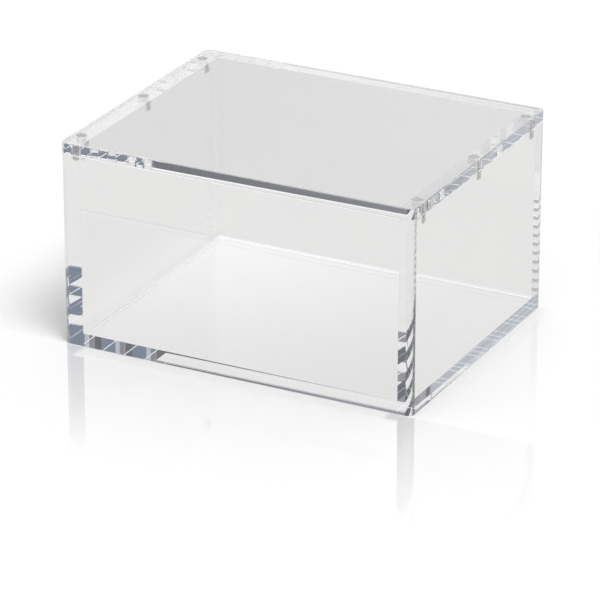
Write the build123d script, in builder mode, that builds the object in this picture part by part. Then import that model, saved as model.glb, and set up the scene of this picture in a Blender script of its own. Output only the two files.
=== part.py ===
from build123d import *
from math import radians, tan
import os

# Clear acrylic storage box with a flat lift-off lid that six pairs of magnets hold shut.
# Millimetres. The origin is the middle of the underside, +Z is up, and the front faces -Y.

# Outer size with the lid on
box_width = 210
box_depth = 165
box_height = 117

# Sheets that the plates are cut from
lid_thickness = 6
wall_thickness = 6
side_thickness = 10
base_thickness = 6

# Routed and polished edges
corner_radius = 4
edge_bevel = 0.4

# Disc magnets, all of one diameter
magnet_diameter = 6
wall_magnet_length = 6
lid_magnet_length = 5
magnet_rim = 0.3
end_magnet_inset = 15

# Blind pockets that the magnets are glued into
glue_gap = 0.1
magnet_recess = 0.1
pilot_diameter = 5
pilot_tip_angle = 118

# Places that follow from the sizes above
wall_height = box_height - lid_thickness
side_length = box_depth - wall_thickness
side_middle_y = wall_thickness / 2
inner_width = box_width - 2 * side_thickness
back_wall_y = (box_depth - wall_thickness) / 2
side_wall_x = (box_width - side_thickness) / 2
magnet_row_length = box_depth - 2 * end_magnet_inset

# Each magnet's place in plan, by the side and the part of the side that it sits in
side_signs = {"left": -1, "right": 1}
row_signs = {"front": -1, "middle": 0, "back": 1}
magnet_places = {
    f"{side}_{row}": (side_sign * side_wall_x, row_sign * magnet_row_length / 2)
    for side, side_sign in side_signs.items()
    for row, row_sign in row_signs.items()
}


def write_piece(piece, name):
    """Label a finished piece and write it under its own name."""
    piece.part.label = name
    export_step(piece.part, f"parts/{name}.step")


def bevel_outer_edges(piece, inner_faces):
    """Break the top and bottom edges of a plate, but not those that an inner face shares."""
    kept_sharp = [edge.center() for face in inner_faces for edge in face.edges()]
    rims = piece.faces().sort_by(Axis.Z)[0].edges() + piece.faces().sort_by(Axis.Z)[-1].edges()
    open_rims = [edge for edge in rims if edge.center() not in kept_sharp]
    chamfer(open_rims, length=edge_bevel)


def magnet_shape(length, top_height, place):
    """One plated disc magnet with bevelled rims, its top face at the given height."""
    with BuildPart(Plane.XY.offset(top_height)) as magnet:
        with Locations(place):
            Cylinder(magnet_diameter / 2, length, align=(Align.CENTER, Align.CENTER, Align.MAX))
        chamfer(magnet.edges().filter_by(GeomType.CIRCLE), length=magnet_rim)
    return magnet


os.makedirs("parts", exist_ok=True)

# Base: the floor plate, glued in between the side walls and behind the front wall
with BuildPart() as base_plate:
    with BuildSketch():
        with Locations((0, side_middle_y)):
            Rectangle(inner_width, side_length)
    extrude(amount=base_thickness)
    base_across = base_plate.faces().sort_by(Axis.X)
    base_front = base_plate.faces().sort_by(Axis.Y)[0]
    base_top = base_plate.faces().sort_by(Axis.Z)[-1]
    bevel_outer_edges(base_plate, [base_across[0], base_across[-1], base_front, base_top])
write_piece(base_plate, "base_plate")

# Front wall: covers the front ends of the side walls and the base, so it has two round corners
with BuildPart() as front_wall:
    with BuildSketch(Plane.XY) as front_plan:
        with Locations((0, -back_wall_y)):
            Rectangle(box_width, wall_thickness)
        fillet(front_plan.vertices().group_by(Axis.Y)[0], radius=corner_radius)
    extrude(amount=wall_height)
    bevel_outer_edges(front_wall, front_wall.faces().sort_by(Axis.Y)[-1:])
write_piece(front_wall, "front_wall")

# Back wall: stands on the base's back edge, glued in between the side walls
with BuildPart() as back_wall:
    with BuildSketch(Plane.XY.offset(base_thickness)):
        with Locations((0, back_wall_y)):
            Rectangle(inner_width, wall_thickness)
    extrude(amount=wall_height - base_thickness)
    back_across = back_wall.faces().sort_by(Axis.X)
    back_inside = back_wall.faces().sort_by(Axis.Y)[0]
    back_foot = back_wall.faces().sort_by(Axis.Z)[0]
    bevel_outer_edges(back_wall, [back_across[0], back_across[-1], back_inside, back_foot])
write_piece(back_wall, "back_wall")

# Pocket for a wall magnet: a flat-bottomed bore, with the pilot drill's tip below its floor
wall_pocket_depth = wall_magnet_length + magnet_recess
pocket_radius = magnet_diameter / 2 + glue_gap
pilot_radius = pilot_diameter / 2
pilot_tip_depth = pilot_radius / tan(radians(pilot_tip_angle / 2))
with BuildPart() as wall_pocket:
    with BuildSketch(Plane.XZ):
        with BuildLine():
            Polyline(
                (0, 0),
                (pocket_radius, 0),
                (pocket_radius, -wall_pocket_depth),
                (pilot_radius, -wall_pocket_depth),
                (0, -wall_pocket_depth - pilot_tip_depth),
                close=True,
            )
        make_face()
    revolve(axis=Axis.Z)

# Side walls: thicker plates that reach to the back, where each has a round corner, drilled from
# above for the magnets
for side, side_sign in side_signs.items():
    with BuildPart() as side_wall:
        with BuildSketch() as side_plan:
            with Locations((side_sign * side_wall_x, side_middle_y)):
                Rectangle(side_thickness, side_length)
            back_corners = side_plan.vertices().group_by(Axis.Y)[-1].sort_by(Axis.X)
            fillet(back_corners[-1] if side_sign > 0 else back_corners[0], radius=corner_radius)
        extrude(amount=wall_height)
        across = side_wall.faces().sort_by(Axis.X)
        inner_face = across[0] if side_sign > 0 else across[-1]
        front_end = side_wall.faces().sort_by(Axis.Y)[0]
        bevel_outer_edges(side_wall, [inner_face, front_end])
        pockets = [
            (x, y, wall_height) for name, (x, y) in magnet_places.items() if name.startswith(side)
        ]
        with Locations(*pockets):
            add(wall_pocket.part, mode=Mode.SUBTRACT)
    write_piece(side_wall, f"{side}_wall")

# Lid: one flat plate as large as the box, drilled from below almost through
lid_pocket_depth = lid_magnet_length + magnet_recess
with BuildPart() as lid_plate:
    with BuildSketch(Plane.XY.offset(wall_height)):
        RectangleRounded(box_width, box_depth, corner_radius)
    extrude(amount=lid_thickness)
    bevel_outer_edges(lid_plate, [])
    with BuildSketch(Plane.XY.offset(wall_height)):
        with Locations(*magnet_places.values()):
            Circle(pocket_radius)
    extrude(amount=lid_pocket_depth, mode=Mode.SUBTRACT)
write_piece(lid_plate, "lid_plate")

# Magnets: one in each pocket, sunk just below the face so that the lid lies flat
for name, place in magnet_places.items():
    wall_magnet = magnet_shape(wall_magnet_length, wall_height - magnet_recess, place)
    write_piece(wall_magnet, f"wall_magnet_{name}")
    lid_magnet = magnet_shape(lid_magnet_length, wall_height + lid_pocket_depth, place)
    write_piece(lid_magnet, f"lid_magnet_{name}")
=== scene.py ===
# %% [markdown]
# # A clear acrylic box with a flat magnetic lid
# The real box is cemented together from five polished plates, and a sixth lies on top as a
# lid. Six pairs of small disc magnets hold the lid down. Clear plates have almost no colour
# of their own: what an eye sees is the table and the room, bent by the edges. So this lesson
# is mostly about exact shapes, one honest refractive material and the right surroundings.

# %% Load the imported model
import math

import bmesh
import bpy
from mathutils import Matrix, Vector


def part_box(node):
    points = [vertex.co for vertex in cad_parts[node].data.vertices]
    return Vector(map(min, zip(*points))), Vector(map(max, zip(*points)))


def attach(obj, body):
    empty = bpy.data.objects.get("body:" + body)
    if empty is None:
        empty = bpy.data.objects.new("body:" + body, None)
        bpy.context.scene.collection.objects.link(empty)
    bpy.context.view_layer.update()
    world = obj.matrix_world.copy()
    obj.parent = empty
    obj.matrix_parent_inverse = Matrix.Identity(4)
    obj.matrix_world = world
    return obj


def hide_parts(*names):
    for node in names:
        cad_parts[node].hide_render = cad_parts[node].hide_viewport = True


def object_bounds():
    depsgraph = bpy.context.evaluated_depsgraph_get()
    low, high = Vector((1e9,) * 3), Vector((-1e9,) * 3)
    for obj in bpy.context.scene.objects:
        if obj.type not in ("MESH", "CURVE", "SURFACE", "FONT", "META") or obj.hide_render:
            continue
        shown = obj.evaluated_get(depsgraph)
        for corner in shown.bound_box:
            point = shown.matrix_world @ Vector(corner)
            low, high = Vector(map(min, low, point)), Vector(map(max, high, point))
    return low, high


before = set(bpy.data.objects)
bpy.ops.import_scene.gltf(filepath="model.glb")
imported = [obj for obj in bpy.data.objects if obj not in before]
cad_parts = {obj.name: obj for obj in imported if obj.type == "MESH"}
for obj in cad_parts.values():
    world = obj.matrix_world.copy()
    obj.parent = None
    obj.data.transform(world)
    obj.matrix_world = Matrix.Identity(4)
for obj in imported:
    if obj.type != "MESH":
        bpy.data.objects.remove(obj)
cad_low, cad_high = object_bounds()
print("packed box in mm:", [round(size * 1000, 1) for size in cad_high - cad_low])

# %% [markdown]
# ## Sizes
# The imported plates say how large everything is, so the sizes are read from them and not typed
# again. Two sizes can't be read from a plate's box: the radius of the upright corners, and the
# bevel that breaks the outer edges.

# %% Read the plates' sizes
base_low, base_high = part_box("base_plate")
lid_low, lid_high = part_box("lid_plate")

half_width, half_depth = cad_high.x, cad_high.y
inner_x = base_high.x
inner_y = -base_low.y
floor_top = base_high.z
wall_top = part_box("front_wall")[1].z
corner_radius = 0.004
edge_bevel = 0.0003
print("inside in mm:", round(inner_x * 2000, 1), round(inner_y * 2000, 1))

# %% [markdown]
# ## One outline, several heights
# A plate with bevelled edges is a stack of outlines. At the top and the bottom the outline is
# a little smaller, and in between it has its full size. Joining outline to outline with
# quads gives clean, flat faces, which clear material needs: a stray triangle would show as a
# crease in the refraction.

# %% Stack outlines into a closed plate
def stack_outlines(name, outlines):
    """A closed mesh from outlines of equal length, the lowest first."""
    shape = bmesh.new()
    rings = [[shape.verts.new(point) for point in outline] for outline in outlines]
    for lower, upper in zip(rings, rings[1:]):
        for here in range(len(lower)):
            after = (here + 1) % len(lower)
            shape.faces.new((lower[here], lower[after], upper[after], upper[here]))
    shape.faces.new(reversed(rings[0]))
    shape.faces.new(rings[-1])
    bmesh.ops.recalc_face_normals(shape, faces=shape.faces)
    mesh = bpy.data.meshes.new(name)
    shape.to_mesh(mesh)
    shape.free()
    piece = bpy.data.objects.new(name, mesh)
    bpy.context.scene.collection.objects.link(piece)
    return piece


def lift(outline, height):
    """The flat outline at a height."""
    return [(x, y, height) for x, y in outline]


def bevelled_stack(outline, low, high):
    """A plate's outlines from low to high. outline(bevel) gives the one moved in by a bevel."""
    return [
        lift(outline(edge_bevel), low),
        lift(outline(0), low + edge_bevel),
        lift(outline(0), high - edge_bevel),
        lift(outline(edge_bevel), high),
    ]


# %% [markdown]
# ## Rounded corners
# The upright corners are routed to a small radius. An arc with many short steps bends light
# smoothly, and the faces on it are shaded smooth, while every sharper edge stays crisp.

# %% Draw a quarter circle
arc_steps = 20


def quarter_arc(centre_x, centre_y, start_degrees, radius):
    """Points on a quarter circle, counterclockwise from the start angle."""
    turns = [math.radians(start_degrees + 90 * step / arc_steps) for step in range(arc_steps + 1)]
    return [
        (centre_x + radius * math.cos(turn), centre_y + radius * math.sin(turn)) for turn in turns
    ]


print("one step of a corner in mm:", round(corner_radius * math.pi / 2 / arc_steps * 1000, 2))

# %% [markdown]
# ## Node helpers
# Each finish below is a small net of shader nodes. A few helpers keep those nets readable. The
# first set works with values: it fills a socket, adds a math node, multiplies, compares with a
# limit, and ramps smoothly between two values. A comparison gives 1 for yes and 0 for no, so a
# product of two means that both hold.

# %% Define helpers for values
def fill(tree, socket, value):
    """Put a number or a colour into a socket, or link another node's output to it."""
    if isinstance(value, bpy.types.NodeSocket):
        tree.links.new(value, socket)
    elif socket.type == "RGBA":
        socket.default_value = (*value, 1)
    else:
        socket.default_value = value


def calculate(tree, operation, *values):
    """A math node. Each value is either a number or another node's output."""
    node = tree.nodes.new("ShaderNodeMath")
    node.operation = operation
    for socket, value in zip(node.inputs, values):
        fill(tree, socket, value)
    return node.outputs[0]


def times(tree, product, *others):
    """The product of two or more values."""
    for other in others:
        product = calculate(tree, "MULTIPLY", product, other)
    return product


def above(tree, value, limit):
    """1 where a value is above the limit, and 0 elsewhere."""
    return calculate(tree, "GREATER_THAN", value, limit)


def below(tree, value, limit):
    """1 where a value is below the limit, and 0 elsewhere."""
    return calculate(tree, "LESS_THAN", value, limit)


def ramp(tree, source, low, high, at_low, at_high):
    """A smooth change from one value to another as the source goes from low to high."""
    node = tree.nodes.new("ShaderNodeMapRange")
    node.interpolation_type = "SMOOTHSTEP"
    tree.links.new(source, node.inputs["Value"])
    names = ("From Min", "From Max", "To Min", "To Max")
    for name, value in zip(names, (low, high, at_low, at_high)):
        node.inputs[name].default_value = value
    return node.outputs[0]


# %% [markdown]
# ## Texture and colour helpers
# The second set makes what a surface is painted with: a noise texture, a bump from a height,
# a colour between two others, and a colour that changes along a value.

# %% Define helpers for textures and colours
def noise(tree, waves, detail=3, stretch=(1, 1, 1)):
    """A noise texture in the piece's own frame, with so many waves to the metre."""
    place = tree.nodes.new("ShaderNodeTexCoord")
    mapping = tree.nodes.new("ShaderNodeMapping")
    mapping.inputs["Scale"].default_value = stretch
    texture = tree.nodes.new("ShaderNodeTexNoise")
    texture.inputs["Scale"].default_value = waves
    texture.inputs["Detail"].default_value = detail
    tree.links.new(place.outputs["Object"], mapping.inputs["Vector"])
    tree.links.new(mapping.outputs["Vector"], texture.inputs["Vector"])
    return texture.outputs["Fac"]


def dents(tree, height, distance, strength=1):
    """A bump from a height, so many metres deep."""
    node = tree.nodes.new("ShaderNodeBump")
    node.inputs["Strength"].default_value = strength
    node.inputs["Distance"].default_value = distance
    tree.links.new(height, node.inputs["Height"])
    return node.outputs["Normal"]


def two_tones(tree, share, first, second):
    """A colour between two others."""
    node = tree.nodes.new("ShaderNodeMix")
    node.data_type = "RGBA"
    tree.links.new(share, node.inputs["Factor"])
    fill(tree, node.inputs["A"], first)
    fill(tree, node.inputs["B"], second)
    return node.outputs["Result"]


def tones_along(tree, source, tones):
    """A colour that changes along a value, through (value, colour) pairs in rising order."""
    node = tree.nodes.new("ShaderNodeValToRGB")
    steps = node.color_ramp.elements
    while len(steps) < len(tones):
        steps.new(1)
    for step, (value, colour) in zip(steps, tones):
        step.position = value
        step.color = (*colour, 1)
    tree.links.new(source, node.inputs[0])
    return node.outputs["Color"]


# %% [markdown]
# ## Shader helpers
# The last set makes and mixes whole shaders. A new material starts with Blender's main shader,
# the Principled one.

# %% Define helpers for shaders
def new_material(name):
    """A new material, its node tree and its main shader."""
    material = bpy.data.materials.new(name)
    material.use_nodes = True
    return material, material.node_tree, material.node_tree.nodes["Principled BSDF"]


def light(tree, kind, colour=(1, 1, 1), strength=1):
    """An Emission or Background shader. Its colour and strength may come from other nodes."""
    node = tree.nodes.new(f"ShaderNode{kind}")
    fill(tree, node.inputs["Color"], colour)
    fill(tree, node.inputs["Strength"], strength)
    return node.outputs[0]


def blend(tree, share, first, second):
    """A mix of two shaders."""
    node = tree.nodes.new("ShaderNodeMixShader")
    for socket, source in zip(node.inputs, (share, first, second)):
        tree.links.new(source, socket)
    return node.outputs[0]


# %% [markdown]
# ## Clear acrylic
# Cast acrylic bends light a little less than window glass. The number below is the one that
# makes the bands of light in the lid's front edge as wide as they are on the real box: light
# that enters an edge runs down the plate like a ball in a gutter and leaves at the far edge,
# and how many times it bounces depends on this number alone. A sheet is never quite perfect:
# it has a faint long wave from casting, a few specks of dust, and hairlines from wiping.

# %% Make the acrylic
acrylic_ior = 1.512
wave_depth = 0.000002


def clear_material(name):
    """A clear material that bends light as acrylic does."""
    material, tree, shader = new_material(name)
    shader.inputs["IOR"].default_value = acrylic_ior
    shader.inputs["Transmission Weight"].default_value = 1
    return material, tree, shader


acrylic, sheet, sheet_shader = clear_material("clear_acrylic")
cast_wave = noise(sheet, waves=45, detail=1)
sheet_tone = two_tones(sheet, cast_wave, (0.992, 0.988, 0.991), (1, 1, 1))
specks = noise(sheet, waves=700, detail=0)
dust = ramp(sheet, specks, low=0.86, high=0.90, at_low=0, at_high=0.3)
streaks = noise(sheet, waves=40, detail=2, stretch=(1, 40, 1))
hairlines = ramp(sheet, streaks, low=0.80, high=0.84, at_low=0, at_high=0.12)
sheet.links.new(sheet_tone, sheet_shader.inputs["Base Color"])
sheet.links.new(calculate(sheet, "MAXIMUM", dust, hairlines), sheet_shader.inputs["Roughness"])
sheet.links.new(dents(sheet, cast_wave, wave_depth), sheet_shader.inputs["Normal"])
print("refractive index of the acrylic:", acrylic_ior)

# %% [markdown]
# ## Scraped edges
# A sharp acrylic edge chips, so the maker draws a scraper along it. The narrow bevel that this
# leaves is matt, not polished. Seen through the plate, its mirror images are the fine slanting
# strokes in the lid's edges. A matt bevel gathers lamplight from inside the plate, which a
# short render can't follow, so it gets a faint glow instead.

# %% Make the scraped edge
scraped, scrape, scraped_shader = clear_material("scraped_edge")
scrape_marks = noise(scrape, waves=900, detail=2)
scrape_tone = two_tones(scrape, scrape_marks, (0.90, 0.91, 0.92), (1, 1, 1))
scrape_roughness = ramp(scrape, scrape_marks, low=0.3, high=0.7, at_low=0.06, at_high=0.14)
scrape_glow = ramp(scrape, scrape_marks, low=0.3, high=0.7, at_low=0.14, at_high=0.20)
scrape.links.new(scrape_tone, scraped_shader.inputs["Base Color"])
scrape.links.new(scrape_roughness, scraped_shader.inputs["Roughness"])
scrape.links.new(scrape_glow, scraped_shader.inputs["Emission Strength"])
scraped_shader.inputs["Emission Color"].default_value = (0.93, 0.96, 1, 1)
print("nodes in the scraped edge:", len(scrape.nodes))

# %% [markdown]
# ## Cemented joints
# Solvent cement melts two plates into one, so light crosses a good joint as if it weren't
# there. Each plate here is still its own closed piece, and the faces that are cemented get a
# material that lets everything through. Along the edge of a joint a little cement dries
# white, and the line is also given a painted glow for the light that the plates gather and
# let out there. That thin line hardly shows on a white table, but every mirror image of it in
# the dark edges does, as another fine stroke. Its grain comes from a noise texture.

# %% Make the cement
cement, _, cement_shader = new_material("cemented_joint")
cement_shader.inputs["Alpha"].default_value = 0

white_cement_painted_glow, crust, crust_shader = new_material("dried_cement_painted_glow")
crust_grain = noise(crust, waves=800)
crust_roughness = ramp(crust, crust_grain, low=0.3, high=0.7, at_low=0.7, at_high=0.95)
# Painted light: the cement line's emission stands in for light that the plates gather.
crust_glow = ramp(crust, crust_grain, low=0.3, high=0.7, at_low=0.6, at_high=0.95)
crust.links.new(crust_roughness, crust_shader.inputs["Roughness"])
crust.links.new(crust_glow, crust_shader.inputs["Emission Strength"])
crust_shader.inputs["Base Color"].default_value = (0.8, 0.8, 0.8, 1)
crust_shader.inputs["Emission Color"].default_value = (0.90, 0.94, 1, 1)
print("nodes in the dried cement:", len(crust.nodes))

# %% [markdown]
# ## Finishing a plate
# Every plate carries the same four finishes, and each face has the number of one of them. A
# function for each plate says which faces are cemented. Where it only says yes or no, True
# counts as 1, which is JOINED, and False as 0, which is CLEAR. Of the clear faces, those that
# slope are the scraped bevels.

# %% Give a plate its finishes
CLEAR, JOINED, WHITE_LINE_PAINTED_GLOW, SCRAPED = 0, 1, 2, 3
smooth_up_to = math.radians(20)
least_slope, most_slope = 0.1, 0.9


def finish_plate(piece, joint, node, body):
    """Finish a plate and put it in place of its node. joint(face) gives a face's finish."""
    for material in (acrylic, cement, white_cement_painted_glow, scraped):
        piece.data.materials.append(material)
    for face in piece.data.polygons:
        face.use_smooth = True
        face.material_index = int(joint(face))
        slopes = least_slope < abs(face.normal.z) < most_slope
        if slopes and face.material_index == CLEAR:
            face.material_index = SCRAPED
    piece.data.set_sharp_from_angle(angle=smooth_up_to)
    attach(piece, body)
    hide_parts(node)
    print(piece.name, "faces:", len(piece.data.polygons))


# %% [markdown]
# ## Dry joints
# A dry joint is the opposite of a cemented one: a thin film of air stays between the plates
# and mirrors light back. The lid lies dry on the walls. The back wall's foot has a film under
# it too, because the bands of light in the base's front edge have the widths that an unbroken
# base gives. Cement wets the foot itself from behind, all but a narrow strip along the
# inside, and this gives the light and dark cells in the box's back corner.

# %% Leave films of air
air_film = 0.0001
seat = wall_top - air_film
back_foot = floor_top + air_film
dry_strip = 0.002
print("film of air in mm:", air_film * 1000, "and dry strip of the foot:", dry_strip * 1000)

# %% [markdown]
# ## Scribing
# Where a neighbour ends in the middle of a face, the face is scored along that line, the way
# a plate is marked out before it is glued. Each side of the line can then have its own
# finish. A second helper finds the faces that lie in a given plane.

# %% Score lines across a plate
weld_distance = 1e-7
same_plane = 1e-6
straight = 0.99


def scribe(piece, x_places=(), y_places=(), z_places=()):
    """Cut the faces of a plate along planes across each axis, without moving anything."""
    cuts = [(Vector((x, 0, 0)), Vector((1, 0, 0))) for x in x_places]
    cuts += [(Vector((0, y, 0)), Vector((0, 1, 0))) for y in y_places]
    cuts += [(Vector((0, 0, z)), Vector((0, 0, 1))) for z in z_places]
    shape = bmesh.new()
    shape.from_mesh(piece.data)
    for point, across in cuts:
        everything = list(shape.verts) + list(shape.edges) + list(shape.faces)
        bmesh.ops.bisect_plane(
            shape, geom=everything, dist=weld_distance, plane_co=point, plane_no=across
        )
    shape.to_mesh(piece.data)
    shape.free()


def faces_across(face, axis, place):
    """True if a flat face lies in the plane across an axis, at a distance from the middle."""
    in_plane = abs(abs(face.center[axis]) - place) < same_plane
    return abs(face.normal[axis]) > straight and in_plane


# %% [markdown]
# ## Front wall
# The front wall reaches across the whole width and covers the ends of the side walls and of
# the base, so it has two of the rounded corners. Its outline goes round once,
# counterclockwise.

# %% Build the front wall
def front_outline(bevel):
    """The front wall's outline, its open sides moved in by the bevel."""
    side_x = half_width - bevel
    radius = corner_radius - bevel
    left_arc = quarter_arc(corner_radius - half_width, corner_radius - half_depth, 180, radius)
    right_arc = quarter_arc(half_width - corner_radius, corner_radius - half_depth, 270, radius)
    return [(side_x, -inner_y), (-side_x, -inner_y)] + left_arc + right_arc


def front_joint(face):
    """The parts of the inside face that the side walls and the base are cemented to."""
    covered = abs(face.center.x) > inner_x or face.center.z < floor_top
    return faces_across(face, 1, inner_y) and covered


front_wall = stack_outlines("clear_front_wall", bevelled_stack(front_outline, 0, seat))
scribe(front_wall, x_places=(-inner_x, inner_x), z_places=(floor_top,))
finish_plate(front_wall, front_joint, "front_wall", "box")

# %% [markdown]
# ## Drilling the pockets
# The magnets sit in blind holes. A hole for a wall magnet has a flat step and then a shallow
# cone, left by the pilot drill. The drill that makes it is turned as a solid of revolution,
# and a Boolean modifier drills with it.

# %% Turn a drill and drill with it
turn_steps = 64


def turn_profile(name, profile):
    """A closed solid of revolution from (radius, height) points, the lowest first."""
    angles = [2 * math.pi * step / turn_steps for step in range(turn_steps)]
    outlines = [
        [(radius * math.cos(angle), radius * math.sin(angle), height) for angle in angles]
        for radius, height in profile
    ]
    return stack_outlines(name, outlines)


def drill(piece, profile, places):
    """Drill the same pocket at each place, and apply the result to the mesh."""
    for x, y in places:
        bit = turn_profile("drill_bit", profile)
        bit.location = (x, y, 0)
        cut = piece.modifiers.new("pocket", "BOOLEAN")
        cut.operation = "DIFFERENCE"
        cut.solver = "EXACT"
        cut.object = bit
        bpy.context.view_layer.update()
        drilled = bpy.data.meshes.new_from_object(
            piece.evaluated_get(bpy.context.evaluated_depsgraph_get())
        )
        piece.modifiers.clear()
        piece.data = drilled
        bpy.data.objects.remove(bit)


# %% [markdown]
# ## Pockets for the wall magnets
# The magnets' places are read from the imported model. The pocket is a hair deeper than the
# magnet, so that no two surfaces coincide, and the pilot drill's tip ends in a tiny flat, so
# that its last outline is still an outline.

# %% Shape the wall pocket
pocket_radius = 0.0031
pilot_radius = 0.0025
pilot_tip_angle = 118
pilot_tip = pilot_radius / math.tan(math.radians(pilot_tip_angle / 2))
clearance = 0.00002
tip_flat = 0.00002

magnet_middles = {}
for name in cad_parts:
    if "magnet" in name:
        low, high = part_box(name)
        magnet_middles[name] = (low + high) / 2

wall_pocket_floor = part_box("wall_magnet_left_front")[0].z - clearance
wall_pocket = [
    (tip_flat, wall_pocket_floor - pilot_tip),
    (pilot_radius, wall_pocket_floor),
    (pocket_radius, wall_pocket_floor),
    (pocket_radius, wall_top + edge_bevel),
]


def magnet_places(start):
    """The places, seen from above, of the magnets whose names begin like this."""
    return [
        (middle.x, middle.y) for name, middle in magnet_middles.items() if name.startswith(start)
    ]


print("depth of a wall pocket in mm:", round((wall_top - wall_pocket_floor) * 1000, 2))

# %% [markdown]
# ## Side walls
# The side walls are the thick plates, because the magnets are sunk into their top edges.
# They reach to the very back, where each has one rounded corner. The left one is drawn as the
# right one's mirror image.

# %% Build the side walls
def right_outline(bevel):
    """The right wall's outline, its open sides moved in by the bevel."""
    arc_x, arc_y = half_width - corner_radius, half_depth - corner_radius
    arc = quarter_arc(arc_x, arc_y, 0, corner_radius - bevel)
    front_end = [(inner_x, -inner_y), (half_width - bevel, -inner_y)]
    return front_end + arc + [(inner_x, half_depth - bevel)]


def side_joint(face):
    """The front end, and the parts of the inside face that touch the base and the back wall."""
    front_end = faces_across(face, 1, inner_y)
    touches_base = face.center.z < floor_top
    touches_back = face.center.y > inner_y and face.center.z > back_foot
    return front_end or (faces_across(face, 0, inner_x) and (touches_base or touches_back))


for side, sign in (("left", -1), ("right", 1)):
    stack = bevelled_stack(right_outline, 0, seat)
    stack = [[(sign * x, y, z) for x, y, z in outline] for outline in stack]
    wall = stack_outlines(f"clear_{side}_wall", stack)
    scribe(wall, y_places=(inner_y,), z_places=(floor_top, back_foot))
    drill(wall, wall_pocket, magnet_places(f"wall_magnet_{side}"))
    finish_plate(wall, side_joint, f"{side}_wall", "box")

# %% [markdown]
# ## Base
# The base fits in between the side walls and runs through to the back. It is cemented at its
# sides and its front. White lines of dried cement, with their painted glow, run underneath
# along its sides and its rear, and on top along the foot of the back wall.

# %% Build the base
cement_line = 0.0006
line_x = inner_x - cement_line
line_y = inner_y - cement_line
rear_line = half_depth - cement_line


def rectangle(low_y, high_y):
    """A rectangle between the side walls."""
    return [(-inner_x, low_y), (inner_x, low_y), (inner_x, high_y), (-inner_x, high_y)]


def base_joint(face):
    """Joined edges, and the white cement lines, painted with a glow, underneath and in the back
    inside corner.
    """
    if abs(face.normal.x) > straight or face.normal.y < -straight:
        return JOINED
    along_side = abs(face.center.x) > line_x
    along_rear = face.center.y > rear_line
    if face.normal.z < -straight and (along_side or along_rear):
        return WHITE_LINE_PAINTED_GLOW
    if face.normal.z > straight and line_y < face.center.y < inner_y:
        return WHITE_LINE_PAINTED_GLOW
    return CLEAR


base_stack = [
    lift(rectangle(-inner_y, half_depth - edge_bevel), 0),
    lift(rectangle(-inner_y, half_depth), edge_bevel),
    lift(rectangle(-inner_y, half_depth), floor_top),
]
base = stack_outlines("clear_base_plate", base_stack)
scribe(base, x_places=(-line_x, line_x), y_places=(line_y, inner_y, rear_line))
finish_plate(base, base_joint, "base_plate", "box")

# %% [markdown]
# ## Back wall
# The back wall stands on the base's rear edge, between the side walls. Only its outer top
# edge is bevelled, because the edges inside the box are left sharp.

# %% Build the back wall
wet_from = inner_y + dry_strip


def back_joint(face):
    """The back wall's ends, and the part of its foot that the cement wets."""
    wet_foot = face.normal.z < -straight and face.center.y > wet_from
    return abs(face.normal.x) > straight or wet_foot


back_stack = [
    lift(rectangle(inner_y, half_depth), back_foot),
    lift(rectangle(inner_y, half_depth), seat - edge_bevel),
    lift(rectangle(inner_y, half_depth - edge_bevel), seat),
]
back_wall = stack_outlines("clear_back_wall", back_stack)
scribe(back_wall, y_places=(wet_from,))
finish_plate(back_wall, back_joint, "back_wall", "box")

# %% [markdown]
# ## Lid
# The lid is one flat plate, as large as the box, with all four corners rounded and both rims
# bevelled. Its six pockets are drilled from below and stop just short of the top face.

# %% Build the lid
def lid_outline(bevel):
    """The lid's rounded outline, moved in by the bevel."""
    middle_x, middle_y = half_width - corner_radius, half_depth - corner_radius
    points = []
    for turn, (x, y) in enumerate([(1, 1), (-1, 1), (-1, -1), (1, -1)]):
        points += quarter_arc(x * middle_x, y * middle_y, 90 * turn, corner_radius - bevel)
    return points


def lid_joint(face):
    """Nothing is cemented to the lid."""
    return False


lid = stack_outlines("clear_lid_plate", bevelled_stack(lid_outline, lid_low.z, lid_high.z))
lid_pocket_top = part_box("lid_magnet_left_front")[1].z + clearance
lid_pocket = [(pocket_radius, lid_low.z - edge_bevel), (pocket_radius, lid_pocket_top)]
drill(lid, lid_pocket, magnet_places("lid"))
finish_plate(lid, lid_joint, "lid_plate", "lid")

# %% [markdown]
# ## Magnets
# Small neodymium discs are plated with nickel, a slightly warm grey metal. The plating is
# tumbled, so it is a little dull and has fine scuffs: one noise texture varies the roughness,
# and a finer one dents the surface by a few micrometres. In the lid's edge, far images of the
# magnets are pale, because they catch lamplight that a short render can't follow, so rays
# that have bounced often get a little glow from them.

# %% Plate the magnets
nickel, plating, nickel_shader = new_material("nickel_plating")
nickel_shader.inputs["Metallic"].default_value = 1
nickel_shader.inputs["Emission Color"].default_value = (1, 0.99, 0.97, 1)
scuff_depth = 0.00002
far_image_glow = 0.45

patches = ramp(plating, noise(plating, waves=900), low=0.35, high=0.65, at_low=0, at_high=1)
nickel_tone = two_tones(plating, patches, (0.58, 0.57, 0.54), (0.76, 0.75, 0.72))
scuffs = noise(plating, waves=2500)
dullness = ramp(plating, scuffs, low=0.35, high=0.65, at_low=0.18, at_high=0.34)
scratches = dents(plating, noise(plating, waves=4000), scuff_depth, strength=0.25)
plating_path = plating.nodes.new("ShaderNodeLightPath").outputs
far_image = above(plating, plating_path["Glossy Depth"], 2.5)
magnet_glow = times(plating, far_image, far_image_glow)
plating.links.new(nickel_tone, nickel_shader.inputs["Base Color"])
plating.links.new(dullness, nickel_shader.inputs["Roughness"])
plating.links.new(scratches, nickel_shader.inputs["Normal"])
plating.links.new(magnet_glow, nickel_shader.inputs["Emission Strength"])

for name in magnet_middles:
    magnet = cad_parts[name]
    magnet.data.materials.clear()
    magnet.data.materials.append(nickel)
print("magnets plated:", len(magnet_middles))

# %% [markdown]
# ## Table
# The box stands on a white, slightly glossy table. The table starts a hair below the box, so
# that the two never share a plane.

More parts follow.
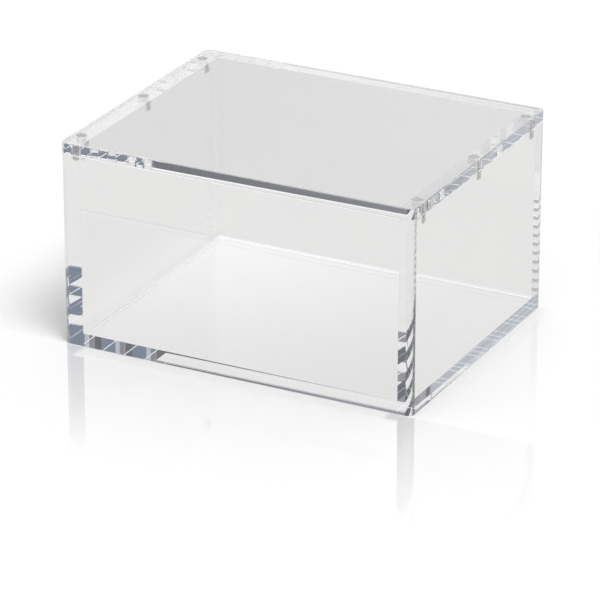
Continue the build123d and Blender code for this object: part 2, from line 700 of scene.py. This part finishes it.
# %% Lay the table
table_gap = 0.00005
reach = 10
corners = [(-reach, -reach), (reach, -reach), (reach, reach), (-reach, reach)]
table_mesh = bpy.data.meshes.new("table")
table_mesh.from_pydata(lift(corners, -table_gap), [], [(0, 1, 2, 3)])
table = bpy.data.objects.new("table", table_mesh)
bpy.context.scene.collection.objects.link(table)
print("table in m:", 2 * reach, "by", 2 * reach)

# %% [markdown]
# ## Places on the table
# Three things show on the table. Lamps light it, which gives the soft shadow. It mirrors the
# box, mostly the dark corner posts. And through the clear plates it shows light that the box
# itself has gathered. All three change with the distance from the box, so the paint starts
# with the nodes that measure it.

# %% Measure from the box
table_paint = bpy.data.materials.new("white_table")
table_paint.use_nodes = True
paint = table_paint.node_tree
paint.nodes.clear()
ray = paint.nodes.new("ShaderNodeLightPath").outputs
place = paint.nodes.new("ShaderNodeNewGeometry")
where = paint.nodes.new("ShaderNodeSeparateXYZ")
paint.links.new(place.outputs["Position"], where.inputs[0])
x_place, y_place = where.outputs["X"], where.outputs["Y"]


def past(edge, distance):
    """How far a distance reaches past an edge, and 0 before it."""
    return calculate(paint, "MAXIMUM", calculate(paint, "SUBTRACT", distance, edge), 0)


from_middle_x = calculate(paint, "ABSOLUTE", x_place)
from_middle_y = calculate(paint, "ABSOLUTE", y_place)
outside_x = past(half_width, from_middle_x)
outside_y = past(half_depth, from_middle_y)
squares = [calculate(paint, "POWER", distance, 2) for distance in (outside_x, outside_y)]
outside = calculate(paint, "SQRT", calculate(paint, "ADD", *squares))
print("nodes that measure the table:", len(paint.nodes))

# %% [markdown]
# ## Lamplight and mirror
# The mirror image is strongest near the box and fades away from it. Right at the box's foot
# the plates' own light outshines it, except under a corner post in front or behind. The plates
# also throw a little light on the table around them, and less of it into the shadow.

# %% Mix lamplight and mirror
mirror_fade = 0.18
lamplit = paint.nodes.new("ShaderNodeBsdfDiffuse")
lamplit.inputs["Color"].default_value = (0.97, 0.97, 0.97, 1)
mirror = paint.nodes.new("ShaderNodeBsdfGlossy")
mirror.inputs["Color"].default_value = (1, 1, 1, 1)
mirror.inputs["Roughness"].default_value = 0.04

off_the_front = ramp(paint, outside_y, low=0.0115, high=0.0135, at_low=0.15, at_high=1)
off_the_side = ramp(paint, outside_x, low=0.006, high=0.008, at_low=0.15, at_high=0.35)
off_the_foot = calculate(paint, "MAXIMUM", off_the_front, off_the_side)
off_the_middle = ramp(paint, from_middle_x, low=0.03, high=0.06, at_low=0.6, at_high=1)
at_a_corner = ramp(
    paint, from_middle_x, low=inner_x - 0.006, high=inner_x, at_low=0, at_high=1
)
under_a_post = times(paint, at_a_corner, above(paint, outside_y, 0))
shine = calculate(paint, "MAXIMUM", times(paint, off_the_foot, off_the_middle), under_a_post)
near_mirror = ramp(paint, outside, low=-0.02, high=mirror_fade, at_low=0.38, at_high=0)
mirror_share = times(paint, near_mirror, shine)

# Painted light: the light the plates throw is an emission glow near the box, weaker on the shadow
# side.
near_box = ramp(paint, outside, low=0.02, high=0.15, at_low=0.065, at_high=0)
out_of_shadow = ramp(paint, x_place, low=-0.12, high=0.05, at_low=0.2, at_high=1)
beside = ramp(paint, outside_x, low=0, high=0.015, at_low=0.25, at_high=1)
thrown_strength = times(paint, near_box, times(paint, out_of_shadow, beside))
thrown = light(paint, "Emission", strength=thrown_strength)
lit = paint.nodes.new("ShaderNodeAddShader")
paint.links.new(lamplit.outputs[0], lit.inputs[0])
paint.links.new(thrown, lit.inputs[1])
seen = blend(paint, mirror_share, lit.outputs[0], mirror.outputs[0])
print("the mirror image ends this far from the box in mm:", mirror_fade * 1000)

# %% [markdown]
# ## Light that the box gathers
# A lamp's light can't be followed through clear plates in a short render. What it would do
# under the box is painted instead, as a gentle glow that only rays through the box can see. It
# grows towards the back left, and it is stronger under the left wall and the back wall, for
# light that came in through the lid and ran down inside them. Outside, the table glows evenly,
# and a little more close to the box's sides. A ray's bounces come as whole numbers, so the
# limits for them end in a half.

# %% Paint the gathered light
middle_glow = 0.788
more_to_the_back = 0.66
less_to_the_right = -0.72
less_still_behind = -2.5
even_glow = 0.80
wall_extra = 0.18
wall_reach = 0.008

inside_x = ramp(paint, x_place, -half_width, half_width, -half_width, half_width)
inside_y = ramp(paint, y_place, -half_depth, half_depth, -half_depth, half_depth)
to_the_back = calculate(paint, "MULTIPLY_ADD", inside_y, more_to_the_back, middle_glow)
to_the_right = calculate(
    paint, "MULTIPLY_ADD", inside_y, less_still_behind, less_to_the_right
)
under_box = calculate(paint, "MULTIPLY_ADD", inside_x, to_the_right, to_the_back)

at_a_side = times(paint, above(paint, outside_x, 0), below(paint, y_place, half_depth))
close_to_side = ramp(paint, outside_x, low=0, high=0.05, at_low=0.06, at_high=0)
beyond_box = calculate(paint, "ADD", times(paint, at_a_side, close_to_side), even_glow)
glow_strength = paint.nodes.new("ShaderNodeMix")
paint.links.new(above(paint, outside, 0), glow_strength.inputs["Factor"])
paint.links.new(under_box, glow_strength.inputs["A"])
paint.links.new(beyond_box, glow_strength.inputs["B"])

wall_middle, half_wall = (half_width + inner_x) / 2, (half_width - inner_x) / 2
under_left = calculate(paint, "COMPARE", x_place, -wall_middle, half_wall)
under_back = above(paint, y_place, inner_y)
under_either = calculate(paint, "MAXIMUM", under_left, under_back)
under_a_wall = times(paint, under_either, below(paint, outside, wall_reach))
has_bounced = above(paint, ray["Glossy Depth"], 0.5)
through_the_lid = above(paint, ray["Transmission Depth"], 2.5)
down_a_wall = times(paint, under_a_wall, times(paint, has_bounced, through_the_lid))
wall_boost = calculate(paint, "MULTIPLY_ADD", down_a_wall, wall_extra, 1)
gathered = times(paint, glow_strength.outputs["Result"], wall_boost)
glow = light(paint, "Emission", (1, 1, 0.99), gathered)
print("glow under the box's middle:", middle_glow, "and around the box:", even_glow)

# %% [markdown]
# ## The shade on the left
# Light that has run all the way down a plate and leaves on the left sees the table in the
# box's own shade. A colour ramp paints it by the distance from the box: pale blue-grey at the
# foot, then light, then darker again.

# %% Paint the left shade
shade_reach = 0.15
shade_end = 0.03
shade_tones = [
    (0.08, (0.53, 0.58, 0.64)),
    (0.15, (0.77, 0.76, 0.75)),
    (0.50, (0.77, 0.76, 0.75)),
    (0.75, (0.42, 0.45, 0.50)),
]
shade_place = calculate(paint, "DIVIDE", outside_x, shade_reach)
shade = light(paint, "Emission", tones_along(paint, shade_place, shade_tones))
on_the_left = times(
    paint, below(paint, x_place, -half_width), below(paint, y_place, shade_end)
)
down_a_plate = above(paint, ray["Glossy Depth"], 5.5)
through_plates = blend(paint, times(paint, on_the_left, down_a_plate), glow, shade)
print("the left shade reaches in mm:", shade_reach * 1000)

# %% [markdown]
# ## The finished table
# Last, the rays are sorted. A ray that lights other things meets plain lamplit paint. The
# camera sees lamplight and the mirror image. Every other ray has come through the plates.

# %% Put the table paint together
lights_things = above(paint, ray["Diffuse Depth"], 0.5)
plainly_lit = calculate(paint, "MAXIMUM", lights_things, ray["Is Camera Ray"])
lamplight = blend(paint, lights_things, seen, lamplit.outputs[0])
paint_output = paint.nodes.new("ShaderNodeOutputMaterial")
paint.links.new(
    blend(paint, plainly_lit, through_plates, lamplight), paint_output.inputs["Surface"]
)
table_mesh.materials.append(table_paint)
print("nodes in the table paint:", len(paint.nodes))

# %% [markdown]
# ## Which rays see the room
# The room behind the table is dim and bluish, and only the plates' edges look into it. White
# air all around lights everything else softly. So the world's nodes first sort the rays: one
# that is bent or mirrored sharply, goes up and doesn't light anything sees the room. It sees
# it brightly where it has crossed whole walls, or was mirrored from outside, and not run
# along inside one plate.

# %% Sort the rays
world = bpy.data.worlds.new("studio")
bpy.context.scene.world = world
world.use_nodes = True
world.cycles.sampling_method = "NONE"
room = world.node_tree
room.nodes.clear()
room_ray = room.nodes.new("ShaderNodeLightPath").outputs
room_place = room.nodes.new("ShaderNodeTexCoord")
towards = room.nodes.new("ShaderNodeSeparateXYZ")
room.links.new(room_place.outputs["Generated"], towards.inputs[0])

sharp_rays = (room_ray["Is Transmission Ray"], room_ray["Is Singular Ray"])
is_sharp = calculate(room, "MAXIMUM", *sharp_rays)
goes_up = above(room, towards.outputs["Z"], 0)
not_lighting = below(room, room_ray["Diffuse Depth"], 0.5)
sees_room = times(room, goes_up, is_sharp, not_lighting)

few_mirrors = below(room, room_ray["Glossy Depth"], 1.5)
from_one_plate = calculate(room, "SUBTRACT", room_ray["Transmission Depth"], 1.5)
not_in_one_plate = above(room, calculate(room, "ABSOLUTE", from_one_plate), 1)
through_walls = times(room, few_mirrors, not_in_one_plate)
print("nodes that sort the rays:", len(room.nodes))

# %% [markdown]
# ## The dim room
# The dim room's tone changes from left to right, which the lid's front edge shows as a slow
# change along its dark line. Towards the front it turns into one lighter tone.

# %% Paint the dim room
room_tones = [
    (0.03, (0.095, 0.095, 0.11)),
    (0.057, (0.125, 0.13, 0.145)),
    (0.077, (0.185, 0.195, 0.215)),
    (0.096, (0.29, 0.285, 0.32)),
    (0.25, (0.23, 0.23, 0.26)),
    (0.75, (0.20, 0.22, 0.26)),
    (0.90, (0.12, 0.13, 0.15)),
    (0.93, (0.18, 0.21, 0.27)),
]
front_tone = (0.41, 0.44, 0.485)
sideways = calculate(room, "ADD", towards.outputs["X"], 0.5)
to_the_front = ramp(room, towards.outputs["Y"], low=-0.3, high=0.3, at_low=1, at_high=0)
side_tone = tones_along(room, sideways, room_tones)
dim_room = light(room, "Background", two_tones(room, to_the_front, side_tone, front_tone))
print("tones of the dim room:", len(room_tones) + 1)

# %% [markdown]
# ## White air
# The bright room is a little brighter for rays that have crossed more walls. The white air
# that lights things is weaker than the white that the camera sees.

# %% Put the room together
air_light = 0.63
crossed = room_ray["Transmission Depth"]
room_brightness = ramp(room, crossed, low=0, high=3, at_low=0.86, at_high=1.05)
bright_room = light(room, "Background", strength=room_brightness)
lighting_air = light(room, "Background", strength=air_light)
plain_white = light(room, "Background")
lit_air = blend(room, not_lighting, lighting_air, plain_white)
room_behind = blend(room, through_walls, dim_room, bright_room)
room_output = room.nodes.new("ShaderNodeOutputWorld")
room.links.new(blend(room, sees_room, lit_air, room_behind), room_output.inputs["Surface"])
print("nodes in the room:", len(room.nodes))

# %% [markdown]
# ## Lamp
# One large soft lamp shines from high on the front right. It makes the only shadow, a soft
# one to the left of the box. A sun lamp with a wide angle lights the whole table evenly.
# Mirrors and clear plates don't see the lamp itself.

# %% Hang the lamp
lamp_place = Vector((0.42, -0.23, 1.03))
lamp_data = bpy.data.lights.new("soft_lamp", "SUN")
lamp_data.angle = math.radians(26)
lamp_data.energy = 1.55
lamp = bpy.data.objects.new("soft_lamp", lamp_data)
bpy.context.scene.collection.objects.link(lamp)
lamp.location = lamp_place
lamp.rotation_mode = "QUATERNION"
lamp.rotation_quaternion = (-lamp_place).to_track_quat("-Z", "Y")
lamp.visible_glossy = False
lamp.visible_transmission = False
print("the lamp's height in degrees:", round(math.degrees(math.asin(lamp_place.normalized().z))))

# %% [markdown]
# ## Camera
# A long lens from far off keeps the box's sides nearly parallel. It looks at a point low
# inside the box, which puts the box a little above the picture's middle.

# %% Place the camera
view_azimuth = math.radians(27.216)
view_elevation = math.radians(22.417)
view_distance = 2.1651
aim = Vector((0.00462, -0.01502, 0.02101))
box_middle = (cad_low + cad_high) / 2
towards_camera = Vector((
    math.sin(view_azimuth) * math.cos(view_elevation),
    -math.cos(view_azimuth) * math.cos(view_elevation),
    math.sin(view_elevation),
))
camera_data = bpy.data.cameras.new("camera")
camera_data.sensor_width = 36
camera_data.lens = 238.37
camera = bpy.data.objects.new("camera", camera_data)
bpy.context.scene.collection.objects.link(camera)
camera.location = box_middle + towards_camera * view_distance
camera.rotation_mode = "QUATERNION"
camera.rotation_quaternion = (aim - camera.location).to_track_quat("-Z", "Y")
bpy.context.scene.camera = camera
print("camera at, in m:", [round(value, 3) for value in camera.location])

# %% [markdown]
# ## Light paths
# Light that runs down a plate bounces many times before it leaves, so the renderer has to
# follow it for longer than usual.

# %% Let light bounce for long enough
scene = bpy.context.scene
scene.view_settings.view_transform = "Standard"
scene.cycles.max_bounces = 64
scene.cycles.glossy_bounces = 48
scene.cycles.transmission_bounces = 24
scene.cycles.transparent_max_bounces = 32
scene.cycles.diffuse_bounces = 2
print("a ray may bounce this often:", scene.cycles.max_bounces)
